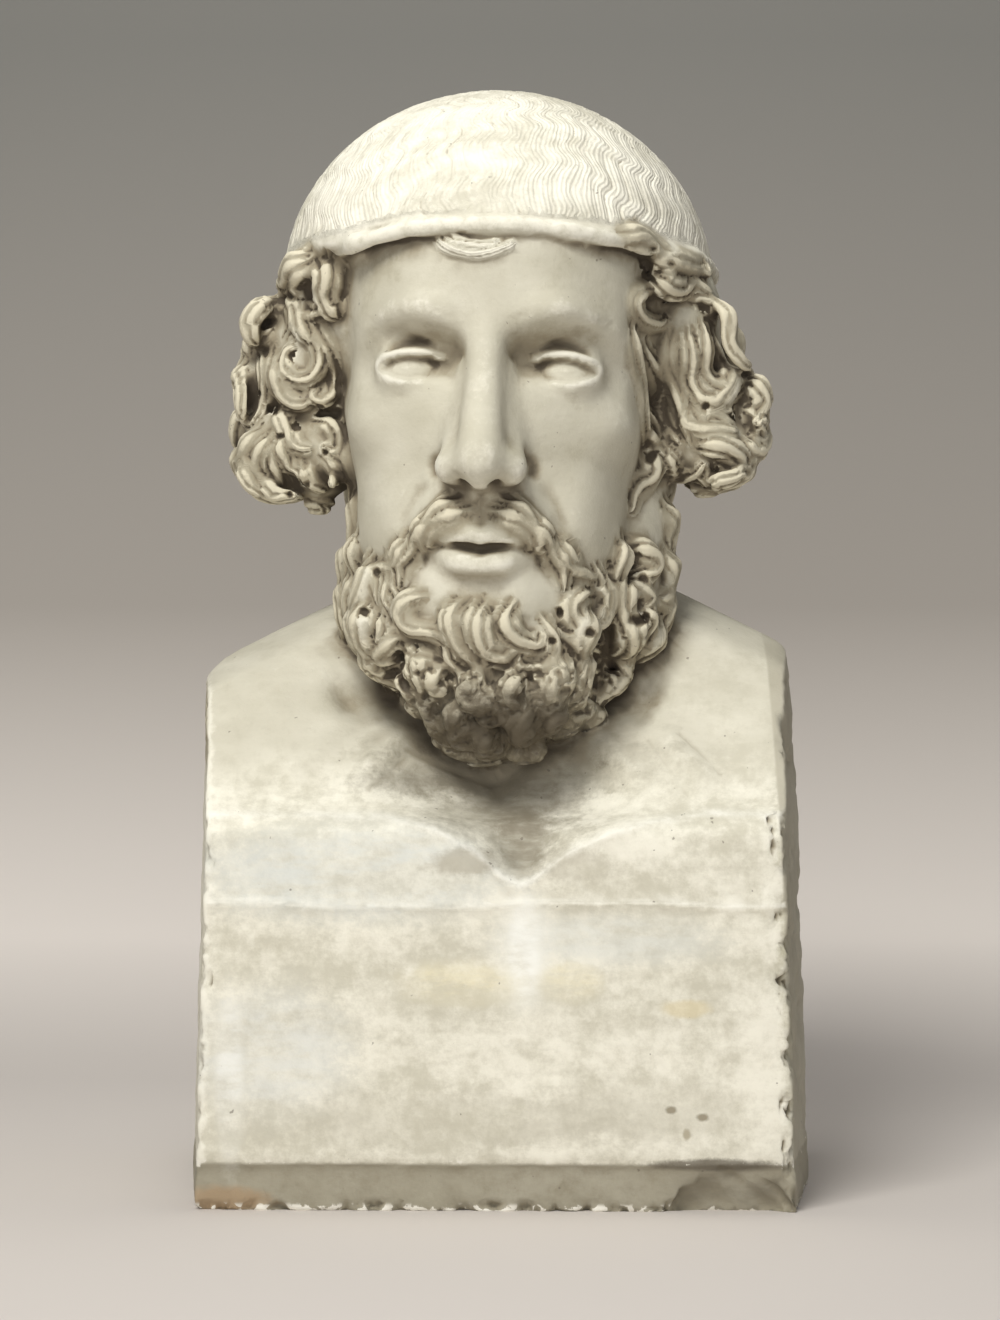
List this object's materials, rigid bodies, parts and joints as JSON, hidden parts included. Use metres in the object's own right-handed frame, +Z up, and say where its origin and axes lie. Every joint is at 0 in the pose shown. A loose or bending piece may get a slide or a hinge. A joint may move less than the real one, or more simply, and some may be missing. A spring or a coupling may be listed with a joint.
{
  "type": "plaster bust",
  "caption": "Classical bust of a bearded man with banded cap of hair and curls at the temples, on a tapered herm block cast in one with it.",
  "frame": {"origin": "middle of the block's front width on the floor, 95 mm behind the front face, on the underside", "axes": "+Z up from the underside to the crown, -Y the way the face looks, +X the viewer's right"},
  "size_m": [0.3216, 0.2851, 0.5698],
  "materials": {
    "plaster": "aged matt plaster, cream on the raised parts, brown-grey dirt in the recesses"
  },
  "bodies": {
    "root": {"bust": "plaster"}
  },
  "joints": []
}
